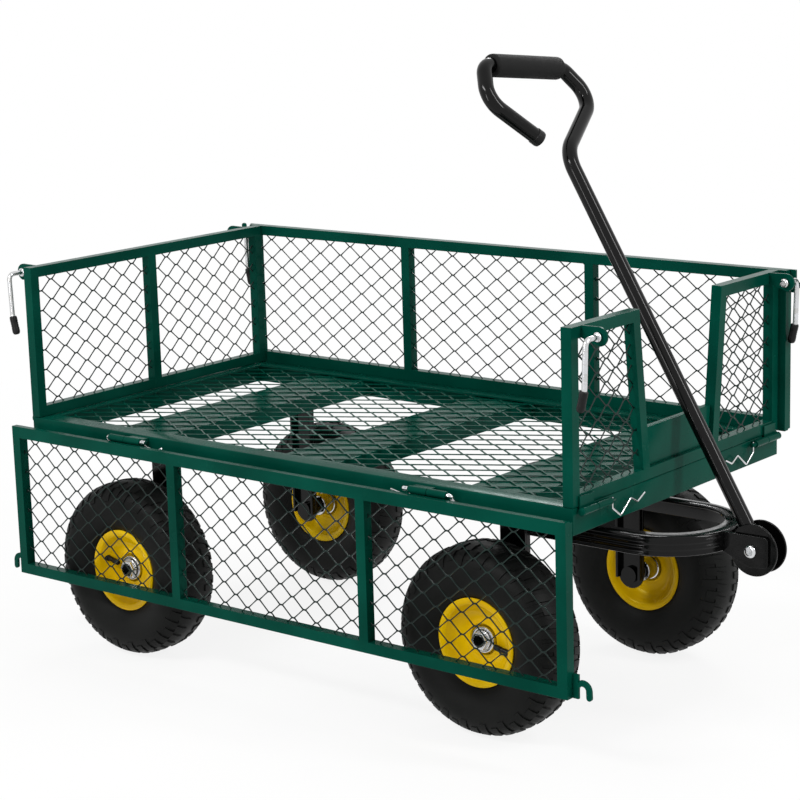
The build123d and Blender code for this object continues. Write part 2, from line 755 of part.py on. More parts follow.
def axle_nuts(x, track):
    """Nut on each end of an axle, bored for the rod."""
    start = track / 2 + hub_out + slip
    with BuildPart() as nuts:
        for face in (-start, start + nut_l):
            with BuildSketch(Plane.XZ.offset(-face)):
                with Locations((x, axle_z)):
                    RegularPolygon(nut_d / 2, 6)
                    Circle(axle_d / 2, mode=Mode.SUBTRACT)
            extrude(amount=nut_l)
    return nuts


front_axle = stub_axles(front_axle_x, front_track, leg_out)
save(front_axle, "front_axle")
rear_axle = stub_axles(rear_axle_x, rear_track, rear_leg_out)
save(rear_axle, "rear_axle")
front_axle_nuts = axle_nuts(front_axle_x, front_track)
save(front_axle_nuts, "front_axle_nuts")
rear_axle_nuts = axle_nuts(rear_axle_x, rear_track)
save(rear_axle_nuts, "rear_axle_nuts")


def wheel(x, y, name):
    """Tyre, pressed rim and hub of one wheel, turned about its axle."""
    section = Plane(origin=(x, y, axle_z), x_dir=(0, 1, 0), z_dir=(1, 0, 0))
    spin = Axis((x, y, axle_z), (0, 1, 0))
    lip = rim_d / 2
    seat = lip - 2 * rim_sheet
    half = rim_w / 2
    hub_r = hub_d / 2
    web = rim_web / 2
    web_root = web + 1
    web_r = hub_r + rim_web / 2
    dish_r = seat - rim_sheet
    shoulder = tyre_d / 2 - tyre_crown
    bulge = (shoulder + lip) / 2 + tyre_crown
    outside = 1 if y > 0 else -1
    with BuildPart() as tyre:
        with BuildSketch(section):
            with BuildLine():
                Polyline((half - rim_sheet, lip), (half - rim_sheet, seat), (-half + rim_sheet, seat),
                         (-half + rim_sheet, lip))
                ThreePointArc((-half + rim_sheet, lip), (-tyre_w / 2, bulge), (-tread_w / 2, shoulder))
                ThreePointArc((-tread_w / 2, shoulder), (0, tyre_d / 2), (tread_w / 2, shoulder))
                ThreePointArc((tread_w / 2, shoulder), (tyre_w / 2, bulge), (half - rim_sheet, lip))
            make_face()
        revolve(axis=spin)
    save(tyre, name + "_tyre")
    with BuildPart() as rim:
        with BuildSketch(section):
            with BuildLine():
                Polyline((-web_root, web_r), (-web, hub_r), (web, hub_r), (web_root, web_r))
                ThreePointArc((web_root, web_r), (half / 2, (web_r + 2 * dish_r) / 3), (half - rim_sheet / 2, dish_r))
                Polyline((half - rim_sheet / 2, dish_r), (half, lip), (half - rim_sheet, lip), (half - rim_sheet, seat),
                         (-half + rim_sheet, seat), (-half + rim_sheet, lip), (-half, lip),
                         (-half + rim_sheet / 2, dish_r))
                ThreePointArc((-half + rim_sheet / 2, dish_r), (-half / 2, (web_r + 2 * dish_r) / 3),
                              (-web_root, web_r))
            make_face()
        revolve(axis=spin)
    save(rim, name + "_rim")
    with BuildPart() as hub:
        with BuildSketch(section):
            with Locations((outside * (hub_out - hub_in) / 2, (hub_r + axle_d / 2 + pin_play) / 2)):
                Rectangle(hub_out + hub_in, hub_r - axle_d / 2 - pin_play)
        revolve(axis=spin)
    save(hub, name + "_hub")


wheel(front_axle_x, -front_track / 2, "right_front")
wheel(front_axle_x, front_track / 2, "left_front")
wheel(rear_axle_x, -rear_track / 2, "right_rear")
wheel(rear_axle_x, rear_track / 2, "left_rear")

# Handle plane: x to the left of the cart, y up the leaning shaft
lean_back = radians(handle_lean)
handle_plane = Plane(origin=(pivot_x, 0, pivot_z), x_dir=(0, 1, 0), z_dir=(cos(lean_back), 0, sin(lean_back)))

# Handle tube: shaft that runs into a triangular loop
with BuildPart() as handle_tube:
    with BuildLine(handle_plane) as route:
        FilletPolyline((0, pivot_bolt_d / 2 + 4), (0, loop_start), loop_elbow, bar_right, bar_left, loop_turn,
                       loop_end, radius=loop_bends)
    with BuildSketch(Plane(origin=route.line @ 0, z_dir=route.line % 0)):
        Circle(handle_d / 2)
    sweep(path=route.line)
save(handle_tube, "handle_tube")

# Foam grip on the cross bar of the loop
with BuildPart() as handle_grip:
    bar = route.edges().filter_by(GeomType.LINE).sort_by(Axis.Z)[-1]
    with BuildSketch(Plane(origin=bar @ 0, z_dir=bar % 0)):
        Circle(foam_d / 2)
        Circle(handle_d / 2, mode=Mode.SUBTRACT)
    extrude(amount=bar.length)
save(handle_grip, "handle_grip")

# Plastic cap on the free end of the loop
with BuildPart() as handle_end_cap:
    tail = (Vector(*loop_end) - Vector(*loop_turn)).normalized()
    cap_from = handle_plane.from_local_coords(Vector(*loop_end) - tail * cap_l * 0.7)
    cap_to = handle_plane.from_local_coords(Vector(*loop_end) + tail * cap_l * 0.3)
    with BuildSketch(Plane(origin=cap_from, z_dir=cap_to - cap_from)):
        Circle(cap_d / 2)
    extrude(amount=cap_l)
    with BuildSketch(Plane(origin=cap_from, z_dir=cap_to - cap_from)):
        Circle(handle_d / 2)
    extrude(amount=cap_l * 0.7, mode=Mode.SUBTRACT)
save(handle_end_cap, "handle_end_cap")

# Handle bracket: two round cheeks and the sleeve that turns on the pivot bolt
with BuildPart() as handle_bracket:
    for side in (-1, 1):
        with BuildSketch(Plane.XZ.offset(-side * (cheek_in + cheek_t / 2) - cheek_t / 2)):
            with Locations((pivot_x, pivot_z)):
                Circle(cheek_r)
        extrude(amount=cheek_t)
    with BuildSketch(Plane.XZ.offset(-cheek_in)):
        with Locations((pivot_x, pivot_z)):
            Circle(pivot_bolt_d / 2 + 3)
    extrude(amount=2 * cheek_in)
    with BuildSketch(Plane.XZ.offset(-cheek_in - cheek_t)):
        with Locations((pivot_x, pivot_z)):
            Circle(pivot_bolt_d / 2 + pin_play)
    extrude(amount=2 * (cheek_in + cheek_t), mode=Mode.SUBTRACT)
save(handle_bracket, "handle_bracket")

# Pivot bolt with its head and nut outside the clevis
with BuildPart() as handle_pivot_bolt:
    with BuildSketch(Plane.XZ.offset(-clevis_out - bolt_head_l)):
        with Locations((pivot_x, pivot_z)):
            Circle(pivot_bolt_d / 2)
    extrude(amount=2 * (clevis_out + bolt_head_l))
    for face in (-clevis_out, clevis_out + bolt_head_l):
        with BuildSketch(Plane.XZ.offset(-face)):
            with Locations((pivot_x, pivot_z)):
                RegularPolygon(bolt_head_d / 2, 6)
        extrude(amount=bolt_head_l)
save(handle_pivot_bolt, "handle_pivot_bolt")
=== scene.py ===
import json
import math

import bmesh
import bpy
from mathutils import Matrix, Vector


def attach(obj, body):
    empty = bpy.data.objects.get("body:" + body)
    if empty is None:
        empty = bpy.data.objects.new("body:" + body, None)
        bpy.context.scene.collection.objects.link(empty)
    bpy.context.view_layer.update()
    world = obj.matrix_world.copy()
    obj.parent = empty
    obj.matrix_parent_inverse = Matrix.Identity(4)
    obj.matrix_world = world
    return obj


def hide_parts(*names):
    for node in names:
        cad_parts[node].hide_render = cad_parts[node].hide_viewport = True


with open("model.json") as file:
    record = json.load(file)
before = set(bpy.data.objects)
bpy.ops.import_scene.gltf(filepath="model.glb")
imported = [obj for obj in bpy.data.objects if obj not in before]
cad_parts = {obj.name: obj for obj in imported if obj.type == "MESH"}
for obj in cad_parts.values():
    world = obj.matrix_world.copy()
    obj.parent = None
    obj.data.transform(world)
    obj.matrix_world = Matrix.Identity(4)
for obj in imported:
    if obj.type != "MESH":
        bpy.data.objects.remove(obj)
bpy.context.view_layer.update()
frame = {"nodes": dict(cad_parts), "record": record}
scene = bpy.context.scene
scene.view_settings.view_transform = "Standard"

# Main sizes: millimetres about the bed's centre, which place() turns into the shared frame
SHIFT = Vector((-53.75, 5.25, 0.0))
HALF_L, HALF_W = 475.0, 245.0
HINGE_X, HINGE_Y, HINGE_Z = 481.5, 261.5, 327.0
SIDE_HINGE, END_HINGE = 268.0, 204.0
FRONT_X, REAR_X, AXLE_Z = 308.0, -305.0, 127.0
FRONT_WHEEL_Y, REAR_WHEEL_Y = 194.0, 215.0
X, Y, Z = Vector((1, 0, 0)), Vector((0, 1, 0)), Vector((0, 0, 1))
MM_PER_M = 1000.0


def place(p):
    return (Vector(p) + SHIFT) / MM_PER_M


# Materials

def srgb(r, g, b):
    """A colour in 0 to 255 as the linear values that shaders take."""
    return tuple(((c / 255 + 0.055) / 1.055) ** 2.4 if c > 10 else c / 255 / 12.92 for c in (r, g, b))


def grey(level):
    return (level,) * 3


def shader(name, color, rough, metal=0.0, spec=0.5, tint=(1, 1, 1)):
    m = bpy.data.materials.new(name)
    m.use_nodes = True
    b = m.node_tree.nodes["Principled BSDF"]
    b.inputs["Base Color"].default_value = (*color, 1.0)
    b.inputs["Roughness"].default_value = rough
    b.inputs["Metallic"].default_value = metal
    b.inputs["Specular IOR Level"].default_value = spec
    b.inputs["Specular Tint"].default_value = (*tint, 1.0)
    return m, m.node_tree, b


def add(tree, kind, **values):
    """A new node with its inputs or settings filled in."""
    n = tree.nodes.new(kind)
    for k, v in values.items():
        if k in n.inputs:
            n.inputs[k].default_value = v
        else:
            setattr(n, k, v)
    return n


def noise(tree, scale, detail=3.0, rough=0.5):
    c = add(tree, "ShaderNodeTexCoord")
    n = add(tree, "ShaderNodeTexNoise", Scale=scale, Detail=detail, Roughness=rough)
    tree.links.new(c.outputs["Object"], n.inputs["Vector"])
    return n.outputs["Fac"]


def ramp(tree, source, stops, target):
    """Feeds a socket from a ramp between two colours or levels."""
    r = add(tree, "ShaderNodeValToRGB")
    for e, (p, c) in zip(r.color_ramp.elements, stops):
        e.position = p
        e.color = (*c, 1)
    tree.links.new(source, r.inputs["Fac"])
    tree.links.new(r.outputs["Color"], target)


def bump(tree, bsdf, source, strength, distance):
    n = add(tree, "ShaderNodeBump", Strength=strength, Distance=distance)
    tree.links.new(source, n.inputs["Height"])
    tree.links.new(n.outputs["Normal"], bsdf.inputs["Normal"])


def paint(name, dark, light, rough, spec, tint, peel):
    """Sprayed paint: faint cloudy tone, fine orange peel and uneven gloss."""
    m, t, b = shader(name, light, rough, spec=spec, tint=tint)
    cloud = noise(t, scale=9.0, detail=4.0)
    ramp(t, cloud, [(0.35, dark), (0.68, light)], b.inputs["Base Color"])
    gloss = noise(t, scale=60.0, detail=2.0)
    ramp(t, gloss, [(0.3, grey(rough - 0.05)), (0.7, grey(rough + 0.06))], b.inputs["Roughness"])
    skin = noise(t, scale=900.0, detail=2.0)
    bump(t, b, skin, peel, distance=0.0004)
    return m


def zinc_material():
    """Zinc plate: pale metal with a mottled passivated tone and fine drawing marks."""
    m, t, b = shader("zinc", (0.6, 0.61, 0.62), rough=0.3, metal=1.0)
    c = add(t, "ShaderNodeTexCoord")
    cells = add(t, "ShaderNodeTexVoronoi", Scale=140.0)
    t.links.new(c.outputs["Object"], cells.inputs["Vector"])
    tones = [(0.2, (0.56, 0.56, 0.55)), (0.8, (0.66, 0.67, 0.69))]
    ramp(t, cells.outputs["Color"], tones, b.inputs["Base Color"])
    fine = noise(t, scale=420.0)
    ramp(t, fine, [(0.3, grey(0.15)), (0.7, grey(0.24))], b.inputs["Roughness"])
    bump(t, b, fine, strength=0.03, distance=0.0002)
    return m


def rubber(name, dark, light, rough, spec, scale, strength):
    """Moulded rubber, foam or plastic: faint bloom, grain and uneven sheen."""
    m, t, b = shader(name, light, rough, spec=spec)
    cloud = noise(t, scale=22.0, detail=5.0, rough=0.6)
    ramp(t, cloud, [(0.3, dark), (0.75, light)], b.inputs["Base Color"])
    ramp(t, cloud, [(0.3, grey(rough - 0.07)), (0.7, grey(rough + 0.07))], b.inputs["Roughness"])
    grain = noise(t, scale)
    bump(t, b, grain, strength, distance=0.0006)
    return m


SLOTS = {
    "green_paint": paint("green_paint", srgb(1, 54, 43), srgb(3, 68, 55), rough=0.22, spec=0.06,
                         tint=(0.1, 0.9, 0.75), peel=0.04),
    "black_paint": paint("black_paint", grey(0.001), (0.0025, 0.0025, 0.0026), rough=0.13, spec=0.2,
                         tint=(1, 1, 1), peel=0.02),
    "yellow_paint": paint("yellow_paint", srgb(206, 162, 2), srgb(230, 190, 5), rough=0.2, spec=0.3,
                          tint=(1, 0.85, 0.15), peel=0.03),
    "zinc": zinc_material(),
    "tyre_rubber": rubber("tyre_rubber", (0.003, 0.0034, 0.0031), (0.007, 0.0074, 0.007), rough=0.5,
                          spec=0.1, scale=520.0, strength=0.12),
    "grip_foam": rubber("grip_foam", grey(0.004), grey(0.009), rough=0.72, spec=0.18,
                        scale=1400.0, strength=0.5),
    "black_plastic": rubber("black_plastic", grey(0.003), (0.007, 0.007, 0.0075), rough=0.36, spec=0.2,
                            scale=700.0, strength=0.1),
}
# Panel nets: the frames' green paint made darker, as painted shade on the thin strands
NET_PAINTED_SHADE = paint("shaded_net_green", srgb(2, 22, 18), srgb(4, 30, 25), rough=0.35, spec=0.25,
                  tint=(1, 1, 1), peel=0.04)
SHARP_EDGE = math.radians(32)

for entry in frame["record"]["subparts"]:
    node = frame["nodes"][entry["node"]]
    node.data.materials.clear()
    node.data.materials.append(SLOTS[entry["material_slot"]])
    node.data.shade_smooth()
    node.data.set_sharp_from_angle(angle=SHARP_EDGE)


# Mesh helpers

BOX_FACES = [(0, 2, 3, 1), (4, 5, 7, 6), (0, 1, 5, 4), (2, 6, 7, 3), (0, 4, 6, 2), (1, 3, 7, 5)]


class Shape:
    """Vertices in millimetres and faces, gathered piece by piece."""

    def __init__(self):
        self.verts = []
        self.faces = []

    def add(self, verts, faces):
        start = len(self.verts)
        self.verts += [Vector(p) for p in verts]
        self.faces += [tuple(i + start for i in face) for face in faces]

    def box(self, lo, hi, to):
        """A block between two corners."""
        corners = [to(x, y, z) for z in (lo[2], hi[2]) for y in (lo[1], hi[1]) for x in (lo[0], hi[0])]
        self.add(corners, BOX_FACES)

    def loft(self, rings, loop=False):
        """A skin over rings of points, closed by end faces or back to its first ring."""
        k = len(rings[0])
        count = len(rings)
        faces = []
        for i in range(count if loop else count - 1):
            a, b = i * k, (i + 1) % count * k
            faces += [(a + j, a + (j + 1) % k, b + (j + 1) % k, b + j) for j in range(k)]
        if not loop:
            faces += [tuple(range(k - 1, -1, -1)), tuple(range((count - 1) * k, count * k))]
        self.add([p for r in rings for p in r], faces)

    def tube(self, path, radius, sides):
        """A round bar along a path, with one radius or one for each point."""
        path = [Vector(p) for p in path]
        first = (path[1] - path[0]).normalized()
        side = first.orthogonal().normalized()
        rings = []
        for i, p in enumerate(path):
            if i == 0:
                along = first
            elif i == len(path) - 1:
                along = (path[-1] - path[-2]).normalized()
            else:
                before, after = path[i] - path[i - 1], path[i + 1] - path[i]
                along = (before.normalized() + after.normalized()).normalized()
            side = (side - along * side.dot(along)).normalized()
            other = along.cross(side)
            r = radius[i] if isinstance(radius, list) else radius
            turns = [2 * math.pi * j / sides for j in range(sides)]
            rings.append([p + (side * math.cos(a) + other * math.sin(a)) * r for a in turns])
        self.loft(rings)

    def turned(self, steps, at, sides):
        """A straight round bar from steps of (place, radius), where at() gives the point of a place."""
        self.tube([at(t) for t, r in steps], [r for t, r in steps], sides)

    def lathe(self, profile, origin, axis, turns):
        """A ring from a closed profile of (place along the axis, radius)."""
        axis = Vector(axis).normalized()
        side = axis.orthogonal().normalized()
        other = axis.cross(side)
        origin = Vector(origin)
        k = len(profile)
        verts, faces = [], []
        for j in range(turns):
            a = 2 * math.pi * j / turns
            d = side * math.cos(a) + other * math.sin(a)
            verts += [origin + axis * s + d * r for s, r in profile]
            p, q = j * k, (j + 1) % turns * k
            faces += [(p + i, q + i, q + (i + 1) % k, p + (i + 1) % k) for i in range(k)]
        self.add(verts, faces)

    def plate(self, outline, depth0, depth1, to):
        """A flat outline given a thickness."""
        n = len(outline)
        verts = [to(x, y, depth0) for x, y in outline] + [to(x, y, depth1) for x, y in outline]
        faces = [tuple(range(n - 1, -1, -1)), tuple(range(n, 2 * n))]
        faces += [(i, (i + 1) % n, n + (i + 1) % n, n + i) for i in range(n)]
        self.add(verts, faces)

    def bored_plate(self, outline, hole, radius, depth0, depth1, to, reach=4.0):
        """A plate with one round hole, from which the whole outline can be seen."""
        edge = []
        for (x0, y0), (x1, y1) in zip(outline, outline[1:] + outline[:1]):
            n = max(1, round(math.hypot(x1 - x0, y1 - y0) / reach))
            edge += [(x0 + (x1 - x0) * k / n, y0 + (y1 - y0) * k / n) for k in range(n)]
        bore = []
        for x, y in edge:
            ray = Vector((x - hole[0], y - hole[1])).normalized() * radius
            bore.append((hole[0] + ray[0], hole[1] + ray[1]))
        runs = ((bore, depth0), (edge, depth0), (edge, depth1), (bore, depth1))
        self.loft([[to(x, y, depth) for x, y in run] for run, depth in runs], loop=True)

    def build(self, name, body, slot, nodes=(), bevel=0.0, segments=2, angle=35, material=None):
        """The finished object on its body, in its slot and in place of its nodes."""
        mesh = bpy.data.meshes.new(name)
        mesh.from_pydata([place(p) for p in self.verts], [], self.faces)
        mesh.validate()
        b = bmesh.new()
        b.from_mesh(mesh)
        bmesh.ops.recalc_face_normals(b, faces=b.faces)
        b.to_mesh(mesh)
        b.free()
        obj = bpy.data.objects.new(name, mesh)
        scene.collection.objects.link(obj)
        mesh.materials.append(material or SLOTS[slot])
        mesh.shade_smooth()
        mesh.set_sharp_from_angle(angle=math.radians(angle))
        if bevel:
            edge = obj.modifiers.new("edges", "BEVEL")
            edge.width = bevel / MM_PER_M
            edge.segments = segments
            edge.limit_method = "ANGLE"
            edge.angle_limit = math.radians(angle)
            edge.use_clamp_overlap = True
            edge.harden_normals = True
        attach(obj, body)
        if nodes:
            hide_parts(*nodes)
        return obj


def rounded(points, radii, step):
    """A run of points with its inner corners turned into arcs, a point for each step in degrees."""
    pts = [Vector(p) for p in points]
    out = [pts[0]]
    for i in range(1, len(pts) - 1):
        r = radii[i - 1] if isinstance(radii, list) else radii
        a = (pts[i - 1] - pts[i]).normalized()
        b = (pts[i + 1] - pts[i]).normalized()
        half = a.angle(b) / 2
        cut = r / math.tan(half)
        centre = pts[i] + (a + b).normalized() * (r / math.sin(half))
        start = pts[i] + a * cut - centre
        end = pts[i] + b * cut - centre
        turn = start.angle(end)
        n = max(3, int(math.degrees(turn) / step))
        axis = start.cross(end).normalized()
        out += [centre + Matrix.Rotation(turn * k / n, 3, axis) @ start for k in range(n + 1)]
    out.append(pts[-1])
    return out


def disc(cx, cy, r, a0, a1, n):
    """Points of an arc between two angles in degrees."""
    return [(cx + r * math.cos(math.radians(a0 + (a1 - a0) * i / n)),
             cy + r * math.sin(math.radians(a0 + (a1 - a0) * i / n))) for i in range(n + 1)]


def stance(origin, ex, ey, ez):
    """A local frame, as a function from its three coordinates to a point."""
    o, x, y, z = Vector(origin), Vector(ex), Vector(ey), Vector(ez)
    return lambda a, h, d: o + x * a + y * h + z * d


def lengthways(to):
    return Vector(to(1, 0, 0)) - Vector(to(0, 0, 0))


def outwards(to):
    return Vector(to(0, 0, 1)) - Vector(to(0, 0, 0))


# Frames on the hinge axes of the panels: along the edge, up the panel, outwards
LEFT = stance((0, HINGE_Y, HINGE_Z), -X, Z, Y)
RIGHT = stance((0, -HINGE_Y, HINGE_Z), X, -Z, Y)
RIGHT_UP = stance((0, -HINGE_Y, HINGE_Z), X, Z, -Y)
REAR = stance((-HINGE_X, 0, HINGE_Z), -Y, Z, -X)
FRONT = stance((HINGE_X, 0, HINGE_Z), Y, Z, X)

# Panels: bottom and top edge above the hinge axis, tube size, half lengths, and gap from hinge axis to tube
FOOT, HEAD, TUBE = 5.5, 224.5, 15.0
SIDE_HALF, END_HALF = 486.0, 245.0
SIDE_INSET, END_INSET = 0.5, 6.0


# Expanded-metal nets

PARALLEL, SHORTEST = 1e-9, 1e-4


def clip(p, q, poly):
    """The share of a line inside a convex outline, as two fractions, or None."""
    t0, t1 = 0.0, 1.0
    dx, dy = q[0] - p[0], q[1] - p[1]
    sides = list(zip(poly, poly[1:] + poly[:1]))
    area = sum(a[0] * b[1] - b[0] * a[1] for a, b in sides)
    s = 1 if area > 0 else -1
    for a, b in sides:
        nx, ny = -(b[1] - a[1]) * s, (b[0] - a[0]) * s
        num = (p[0] - a[0]) * nx + (p[1] - a[1]) * ny
        den = dx * nx + dy * ny
        if abs(den) < PARALLEL:
            if num < 0:
                return None
            continue
        if den > 0:
            t0 = max(t0, -num / den)
        else:
            t1 = min(t1, -num / den)
    return (t0, t1) if t1 - t0 > SHORTEST else None


def strands(shape, poly, pitch, size, depth, to, bond=2.6, twist=0.5, rise=0.3, swell=1.35):
    """Slanted strands in two families that meet in short thick bonds."""
    xs, ys = [p[0] for p in poly], [p[1] for p in poly]
    cx, cy = (min(xs) + max(xs)) / 2, (min(ys) + max(ys)) / 2
    hx, hy = pitch[0] / 2, pitch[1] / 2
    rows = math.ceil((max(ys) - min(ys)) / 2 / hy) + 1
    cols = math.ceil((max(xs) - min(xs)) / 2 / pitch[0] + rows / 2) + 1
    wide, thick = size
    for family in (1, -1):
        for i in range(-cols, cols + 1):
            run = []
            for j in range(-rows, rows + 1):
                x, y = cx + i * pitch[0] + family * j * hx, cy + j * hy
                run.append((x - family * bond, y - bond * rise, -twist * family, swell))
                run.append((x + family * bond, y + bond * rise, twist * family, swell))
                run.append((x + family * hx / 2, y + hy / 2, 0.0, 1.0))
            chain = []
            for p, q in zip(run, run[1:]):
                cut = clip(p, q, poly)
                if cut:
                    ends = [tuple(a + (b - a) * t for a, b in zip(p, q)) for t in cut]
                    chain += ends if not chain else ends[1:]
            if len(chain) < 2:
                continue
            rings = []
            for k, (x, y, d, w) in enumerate(chain):
                a, b = chain[max(k - 1, 0)], chain[min(k + 1, len(chain) - 1)]
                length = math.hypot(b[0] - a[0], b[1] - a[1])
                lx, ly = -(b[1] - a[1]) / length * wide * w / 2, (b[0] - a[0]) / length * wide * w / 2
                up, low = depth + d + thick / 2, depth + d - thick / 2
                rings.append([to(x + lx, y + ly, up), to(x - lx, y - ly, up), to(x - lx, y - ly, low),
                              to(x + lx, y + ly, low)])
            shape.loft(rings)


def rect(x, y, w, h):
    return [(x - w / 2, y - h / 2), (x + w / 2, y - h / 2), (x + w / 2, y + h / 2), (x - w / 2, y + h / 2)]


BAY_MIDDLE, BAY_HIGH = 115.0, 192.0
SIDE_BAYS = [rect(x, BAY_MIDDLE, w, BAY_HIGH) for x, w in ((-323.25, 298), (0, 324), (323.25, 298))]
REAR_BAYS = [rect(x, BAY_MIDDLE, 225, BAY_HIGH) for x in (-118.75, 118.75)]
FRONT_BAY = ((88.0, 19.0), (231.5, 19.0), (231.5, 211.0), (109.0, 211.0))
FRONT_BAYS = [[(side * x, y) for x, y in FRONT_BAY] for side in (1, -1)]
PANEL_PITCH, PANEL_STRAND = (41.0, 29.0), (1.25, 1.1)
DECK_PITCH, DECK_STRAND = (54.0, 33.0), (1.8, 1.3)
DECK_SIZE, DECK_Z = (936, 476), 328.0

for name, body, to, bays, inset, node in (
        ("right_side_net", "right_side_panel", RIGHT, SIDE_BAYS, SIDE_INSET, "right_side_mesh"),
        ("left_side_net", "left_side_panel", LEFT, SIDE_BAYS, SIDE_INSET, "left_side_mesh"),
        ("rear_net", "rear_panel", REAR, REAR_BAYS, END_INSET, "rear_panel_mesh"),
        ("front_net", "front_panel", FRONT, FRONT_BAYS, END_INSET, "front_panel_mesh")):
    net = Shape()
    for bay in bays:
        strands(net, bay, PANEL_PITCH, PANEL_STRAND, -inset - TUBE / 2, to)
    # The panel nets take the darker green of painted shade in place of the green paint
    net.build(name, body, "green_paint", (node,), material=NET_PAINTED_SHADE)

net = Shape()
deck = stance((0, 0, DECK_Z), X, Y, Z)
strands(net, rect(0, 0, *DECK_SIZE), DECK_PITCH, DECK_STRAND, 0.0, deck, bond=3.0, twist=0.3)
net.build("deck_net", "chassis", "green_paint", ("deck_mesh",))


# Panel frames of square tube: posts lap into the tubes and are a hair thinner, so that no faces coincide.
# SKIN keeps the faces of other sheets apart in the same way.

LAP, HAIR, SKIN = 0.4, 0.05, 0.02
POST_FOOT, POST_HEAD = FOOT + TUBE - LAP, HEAD - TUBE + LAP
KNUCKLE, KNUCKLE_STEP = 15.0, 15.2
KNUCKLE_PROFILE = [(-KNUCKLE, 3.05), (KNUCKLE, 3.05), (KNUCKLE, 4.4), (14.4, 5.0), (-14.4, 5.0),
                   (-KNUCKLE, 4.4)]
STRAP_FOOT, STRAP_HEAD, STRAP_THICK = 3.4, 18.0, 3.0
SIDE_POSTS = [-168.0, 168.0]
SIDE_LIP = 1.8
LIP_STEP = (5.8, 5.0)


def barrel(shape, to, middle):
    """One rolled hinge knuckle."""
    shape.lathe(KNUCKLE_PROFILE, to(middle, 0, 0), lengthways(to), turns=32)


def panel_knuckles(shape, to, at, inset):
    """Barrels with their straps on the outer face of the bottom tube."""
    for side in (-1, 1):
        m = side * (at + KNUCKLE_STEP)
        barrel(shape, to, m)
        shape.box((m - KNUCKLE, STRAP_FOOT, -inset), (m + KNUCKLE, STRAP_HEAD, -inset + STRAP_THICK), to)


def tube_frame(name, body, to, half, inset, posts, node, hinge, lip):
    """A panel's frame; a lip under the bottom tube closes the slit of light above the rail."""
    s = Shape()
    d0, d1 = -inset - TUBE, -inset
    under = [(FOOT - lip, d0), (FOOT - lip, d1 - LIP_STEP[0]), (FOOT, d1 - LIP_STEP[1]), (FOOT, d1)]
    s.plate(under + [(FOOT + TUBE, d1), (FOOT + TUBE, d0)], -half, half, lambda h, d, a: to(a, h, d))
    s.box((-half, HEAD - TUBE, d0), (half, HEAD, d1), to)
    for a in [-half + TUBE / 2, half - TUBE / 2] + posts:
        s.box((a - TUBE / 2, POST_FOOT, d0 + HAIR), (a + TUBE / 2, POST_HEAD, d1 - HAIR), to)
    panel_knuckles(s, to, hinge, inset)
    s.build(name, body, "green_paint", (node,), bevel=2.0, segments=3)


for name, to in (("right_side", RIGHT), ("left_side", LEFT)):
    tube_frame(name + "_tubes", name + "_panel", to, SIDE_HALF, SIDE_INSET, SIDE_POSTS, name + "_frame",
               SIDE_HINGE, SIDE_LIP)
tube_frame("rear_tubes", "rear_panel", REAR, END_HALF, END_INSET, [0], "rear_panel_frame", END_HINGE, 0.0)


# Front panel: a bottom tube, a top tube and a leaning post on each side of the notch, and a plate across it

s = Shape()
d0, d1 = -END_INSET - TUBE, -END_INSET
s.box((-END_HALF, FOOT, d0), (END_HALF, FOOT + TUBE, d1), FRONT)
for side in (-1, 1):
    a = side * (END_HALF - TUBE / 2)
    s.box((a - TUBE / 2, POST_FOOT, d0 + HAIR), (a + TUBE / 2, POST_HEAD, d1 - HAIR), FRONT)
    top = [(97, HEAD), (END_HALF, HEAD), (END_HALF, HEAD - TUBE), (95.36, HEAD - TUBE)]
    s.plate([(side * x, y) for x, y in top], d0, d1, FRONT)
    post = [(74.6, POST_FOOT), (89.6, POST_FOOT), (110.4, POST_HEAD), (95.4, POST_HEAD)]
    s.plate([(side * x, y) for x, y in post], d0 + HAIR, d1 - HAIR, FRONT)
panel_knuckles(s, FRONT, END_HINGE, END_INSET)
s.build("front_tubes", "front_panel", "green_paint", ("front_panel_frame",), bevel=2.0, segments=3)

NOTCH_WEB = [(-74.4, 20.7), (74.4, 20.7), (79.9, 70.5), (-79.9, 70.5)]
NOTCH_FLANGE = [(-79.6, 67.5), (79.6, 67.5), (79.9, 70.5), (-79.9, 70.5)]
NOTCH_FACE, NOTCH_BACK, NOTCH_INNER = -12, -15, -21

s = Shape()
s.plate(NOTCH_WEB, NOTCH_BACK, NOTCH_FACE, FRONT)
s.plate(NOTCH_FLANGE, NOTCH_INNER, NOTCH_BACK, FRONT)
s.build("notch_plate", "front_panel", "green_paint", ("front_notch_plate",), bevel=0.8)


# Bed rails as (distance in from the bed's edge, height), and cross-members

RAIL = [(28, 329), (28, 332), (2.6, 332), (1.2, 331.5), (0.4, 330.6), (0, 329.4), (0, 298), (3, 298),
        (3, 329)]
CORNERS = ((1, 1), (-1, 1), (-1, -1), (1, -1))
CHANNEL = [(-47, 304), (-47, 327), (47, 327), (47, 304), (44, 304), (44, 324), (-44, 324), (-44, 304)]
CROSS_X, CROSS_HALF = (-281, 25, 338), 242.0

s = Shape()
s.loft([[(sx * (HALF_L - r), sy * (HALF_W - r), z) for r, z in RAIL] for sx, sy in CORNERS], loop=True)
s.build("bed_rails", "chassis", "green_paint", ("bed_frame",), bevel=0.6, angle=40)

s = Shape()
for x in CROSS_X:
    s.plate(CHANNEL, 0, 2 * CROSS_HALF, stance((x, -CROSS_HALF, 0), X, Z, Y))
s.build("cross_members", "chassis", "green_paint", ("bed_crossmembers",), bevel=1.2)


# Hinges on the rails: edge, its frame, hinge place along it and reach of the tabs; clips are (along, down)

